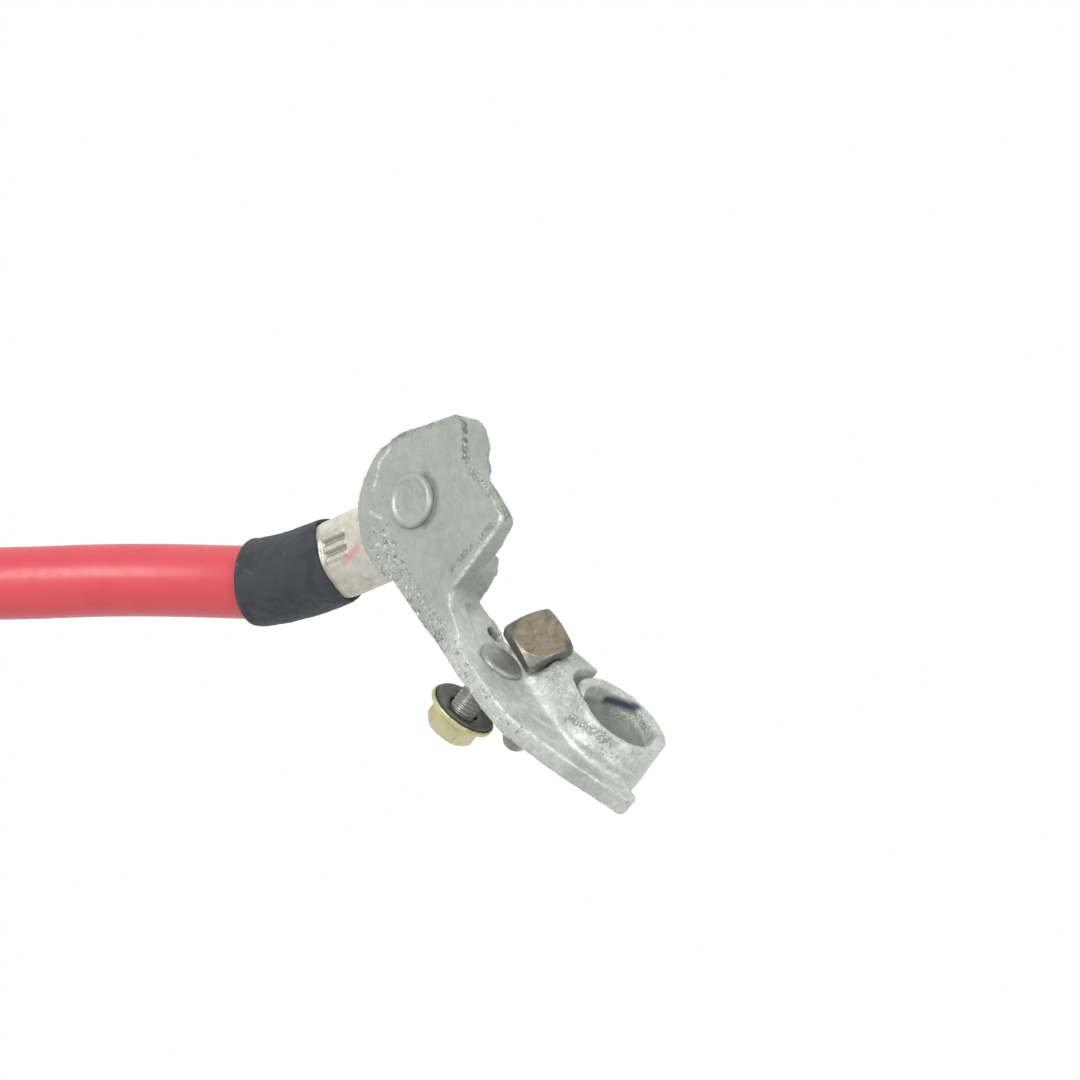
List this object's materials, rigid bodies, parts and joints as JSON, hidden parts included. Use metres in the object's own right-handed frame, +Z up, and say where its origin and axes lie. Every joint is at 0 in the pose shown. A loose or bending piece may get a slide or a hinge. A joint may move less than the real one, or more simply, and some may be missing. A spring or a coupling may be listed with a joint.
{
  "type": "battery cable connector",
  "caption": "Cast post clamp with an inclined clamp bolt and a threaded auxiliary stud, riveted to a thick red cable with a ring lug at its other end.",
  "frame": {"origin": "on the axis of the post bore, inside the ring", "axes": "+Z up from the table that the cable lies on, +X from the cable toward the ring, +Y across the table"},
  "size_m": [0.3708, 0.2539, 0.0886],
  "materials": {
    "cast_zinc": "rough cast, worn bright on its edges",
    "rivet_steel": "dull plated steel",
    "tinned_lug": "tin plated copper, satin",
    "bright_steel": "polished steel",
    "yellow_zinc": "pale yellow zinc plate",
    "dark_steel": "dark phosphated steel",
    "bronzed_steel": "steel with a brown tarnish",
    "black_sleeve": "matt black, wrinkled",
    "red_insulation": "smooth red insulation",
    "copper": "bare copper strands"
  },
  "bodies": {
    "terminal": {"terminal_body": "cast_zinc", "lug_rivet": "rivet_steel", "cable_lug": "tinned_lug", "auxiliary_stud": "bright_steel", "front_sleeve": "black_sleeve", "cable_insulation": "red_insulation", "cable_conductor": "copper", "far_sleeve": "black_sleeve", "far_lug": "tinned_lug"},
    "washer": {"captive_washer": "dark_steel"},
    "nut": {"flange_nut": "yellow_zinc"},
    "bolt": {"clamp_bolt": "bronzed_steel"},
    "bolt_nut": {"clamp_nut": "dark_steel"}
  },
  "joints": [
    {"name": "washer_slide", "type": "slide", "parent": "terminal", "child": "washer", "axis": [0.5642, 0.7222, 0.4001], "range_m": [-0.004, 0.0082]},
    {"name": "flange_nut_spin", "type": "hinge", "parent": "washer", "child": "nut", "pos_m": [-0.03064, 0.0036, -0.0069], "axis": [0.5642, 0.7222, 0.4001], "range_deg": [-1443.6, 2955.6]},
    {"name": "clamp_nut_spin", "type": "hinge", "parent": "terminal", "child": "bolt_nut", "pos_m": [-0.01582, 0.00929, -0.0185], "axis": [0.1157, 0.53, 0.84], "range_deg": [-1083.6, 0]},
    {"name": "clamp_bolt_slide", "type": "slide", "parent": "terminal", "child": "bolt", "axis": [0.1157, 0.53, 0.84], "range_m": [0, 0.003]}
  ],
  "couplings": [
    {"joint": "flange_nut_spin", "follows": "washer_slide", "rad_per_m": 6283.2},
    {"joint": "clamp_nut_spin", "follows": "clamp_bolt_slide", "rad_per_m": -6283.2}
  ]
}
